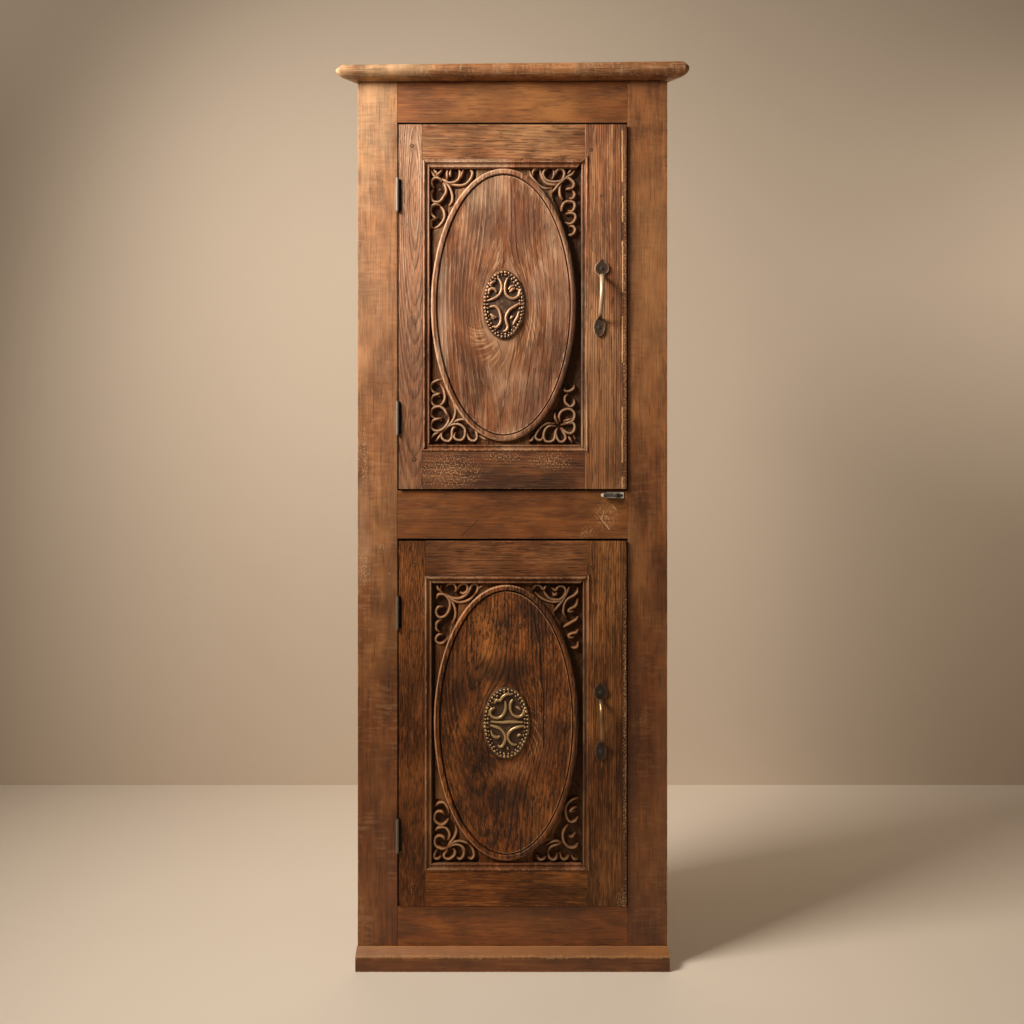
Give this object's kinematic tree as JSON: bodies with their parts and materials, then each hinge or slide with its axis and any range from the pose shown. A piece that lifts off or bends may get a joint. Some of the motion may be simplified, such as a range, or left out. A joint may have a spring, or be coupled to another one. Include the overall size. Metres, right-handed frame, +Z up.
{
  "type": "corner cabinet",
  "caption": "Tall wooden corner cupboard with an upper and a lower hinged door, carved oval door panels, shelves inside and a turn catch.",
  "frame": {"origin": "on the floor, under the middle of the bounding box", "axes": "+Z up, the doors face -Y, the rear corner points to +Y, +X to the viewer's right"},
  "size_m": [0.702, 0.3121, 1.8003],
  "materials": {
    "face_wood": "waxed honey-brown hardwood",
    "door_wood": "weathered open-grain hardwood",
    "carved_wood": "dark carved hardwood",
    "inner_wood": "plain sawn softwood",
    "bronze": "aged bronze, worn bright on the grips",
    "iron": "dark forged iron",
    "steel": "worn steel"
  },
  "bodies": {
    "carcass": {"face_stile_left": "face_wood", "face_stile_right": "face_wood", "face_rail_top": "face_wood", "face_rail_middle": "face_wood", "face_rail_bottom": "face_wood", "side_panel_left": "face_wood", "side_panel_right": "face_wood", "back_board": "face_wood", "top_board": "face_wood", "plinth_board": "face_wood", "bottom_board": "inner_wood", "middle_board": "inner_wood", "lower_shelf": "inner_wood", "upper_shelf": "inner_wood", "lower_shelf_cleat_left": "inner_wood", "lower_shelf_cleat_right": "inner_wood", "upper_shelf_cleat_left": "inner_wood", "upper_shelf_cleat_right": "inner_wood", "lower_door_lower_hinge_frame_leaf": "steel", "lower_door_lower_hinge_pin": "steel", "lower_door_upper_hinge_frame_leaf": "steel", "lower_door_upper_hinge_pin": "steel", "upper_door_lower_hinge_frame_leaf": "steel", "upper_door_lower_hinge_pin": "steel", "upper_door_upper_hinge_frame_leaf": "steel", "upper_door_upper_hinge_pin": "steel", "catch_plate": "iron"},
    "lower_door": {"lower_door_hinge_stile": "door_wood", "lower_door_lock_stile": "door_wood", "lower_door_top_rail": "door_wood", "lower_door_bottom_rail": "door_wood", "lower_door_moulding_left": "door_wood", "lower_door_moulding_right": "door_wood", "lower_door_moulding_bottom": "door_wood", "lower_door_moulding_top": "door_wood", "lower_door_carved_panel": "carved_wood", "lower_door_oval_field": "carved_wood", "lower_door_rosette": "bronze", "lower_door_handle": "bronze", "lower_door_lower_hinge_door_leaf": "steel", "lower_door_upper_hinge_door_leaf": "steel"},
    "upper_door": {"upper_door_hinge_stile": "door_wood", "upper_door_lock_stile": "door_wood", "upper_door_top_rail": "door_wood", "upper_door_bottom_rail": "door_wood", "upper_door_moulding_left": "door_wood", "upper_door_moulding_right": "door_wood", "upper_door_moulding_bottom": "door_wood", "upper_door_moulding_top": "door_wood", "upper_door_carved_panel": "carved_wood", "upper_door_oval_field": "carved_wood", "upper_door_rosette": "bronze", "upper_door_handle": "bronze", "upper_door_lower_hinge_door_leaf": "steel", "upper_door_upper_hinge_door_leaf": "steel"},
    "catch": {"catch_lever": "iron"}
  },
  "joints": [
    {"name": "lower_door_hinge", "type": "hinge", "parent": "carcass", "child": "lower_door", "pos_m": [-0.229, -0.1246, 0.124], "axis": [0, 0, -1], "range_deg": [0, 135]},
    {"name": "upper_door_hinge", "type": "hinge", "parent": "carcass", "child": "upper_door", "pos_m": [-0.229, -0.1246, 0.956], "axis": [0, 0, -1], "range_deg": [0, 135]},
    {"name": "catch_turn", "type": "hinge", "parent": "carcass", "child": "catch", "pos_m": [0.205, -0.122, 0.9435], "axis": [0, 1, 0], "range_deg": [0, 90]}
  ]
}
